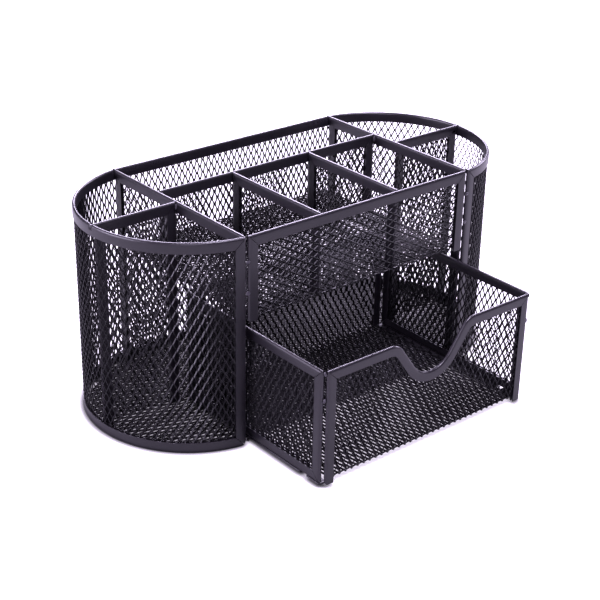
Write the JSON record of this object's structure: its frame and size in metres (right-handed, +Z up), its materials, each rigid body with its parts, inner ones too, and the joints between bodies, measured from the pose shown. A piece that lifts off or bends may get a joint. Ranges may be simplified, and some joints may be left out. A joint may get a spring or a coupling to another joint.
{
  "type": "desk organizer",
  "caption": "Wire-mesh pen stand with rounded end compartments, divided trays above, and a drawer that slides out of the front",
  "frame": {"origin": "on the table, under the middle of the whole stand with its drawer half open; the middle of the body is 25 mm behind it", "axes": "+X to the right along the stand's length, +Y to the back, +Z up; the drawer slides out along -Y"},
  "size_m": [0.2292, 0.156, 0.105],
  "materials": {
    "mesh": "black powder coat on expanded steel mesh, satin",
    "channel": "black powder coat on folded steel channel, satin",
    "weld": "black powder coat over spot welds, satin"
  },
  "bodies": {
    "stand": {"body_weld_beads": "weld", "floor_mesh": "mesh", "front_panel_and_shelf_mesh": "mesh", "front_panel_left_band": "channel", "front_panel_right_band": "channel", "front_panel_top_rim": "channel", "left_cross_divider_front_band": "channel", "left_cross_divider_mesh": "mesh", "left_cross_divider_rear_band": "channel", "left_cross_divider_top_rim": "channel", "left_end_divider_inner_band": "channel", "left_end_divider_mesh": "mesh", "left_end_divider_outer_band": "channel", "left_end_divider_top_rim": "channel", "left_front_post": "channel", "left_outer_bottom_rim": "channel", "left_outer_top_rim": "channel", "left_outer_wall_mesh": "mesh", "left_small_divider_front_band": "channel", "left_small_divider_mesh": "mesh", "left_small_divider_rear_band": "channel", "left_small_divider_top_rim": "channel", "long_divider_left_band": "channel", "long_divider_mesh": "mesh", "long_divider_right_band": "channel", "long_divider_top_rim": "channel", "right_cross_divider_front_band": "channel", "right_cross_divider_mesh": "mesh", "right_cross_divider_rear_band": "channel", "right_cross_divider_top_rim": "channel", "right_end_divider_inner_band": "channel", "right_end_divider_mesh": "mesh", "right_end_divider_outer_band": "channel", "right_end_divider_top_rim": "channel", "right_front_post": "channel", "right_outer_bottom_rim": "channel", "right_outer_top_rim": "channel", "right_outer_wall_mesh": "mesh", "right_small_divider_front_band": "channel", "right_small_divider_mesh": "mesh", "right_small_divider_rear_band": "channel", "right_small_divider_top_rim": "channel"},
    "drawer": {"drawer_back_left_band": "channel", "drawer_back_right_band": "channel", "drawer_back_rim": "channel", "drawer_front_floor_back_mesh": "mesh", "drawer_front_left_band": "channel", "drawer_front_notched_rim": "channel", "drawer_front_right_band": "channel", "drawer_left_runner": "channel", "drawer_left_side_foot_rim": "channel", "drawer_left_side_front_band": "channel", "drawer_left_side_mesh": "mesh", "drawer_left_side_rear_band": "channel", "drawer_left_side_top_rim": "channel", "drawer_right_runner": "channel", "drawer_right_side_foot_rim": "channel", "drawer_right_side_front_band": "channel", "drawer_right_side_mesh": "mesh", "drawer_right_side_rear_band": "channel", "drawer_right_side_top_rim": "channel", "drawer_weld_beads": "weld"}
  },
  "joints": [
    {"name": "drawer_slide", "type": "slide", "parent": "stand", "child": "drawer", "axis": [0, -1, 0], "range_m": [-0.05, 0.04]}
  ]
}
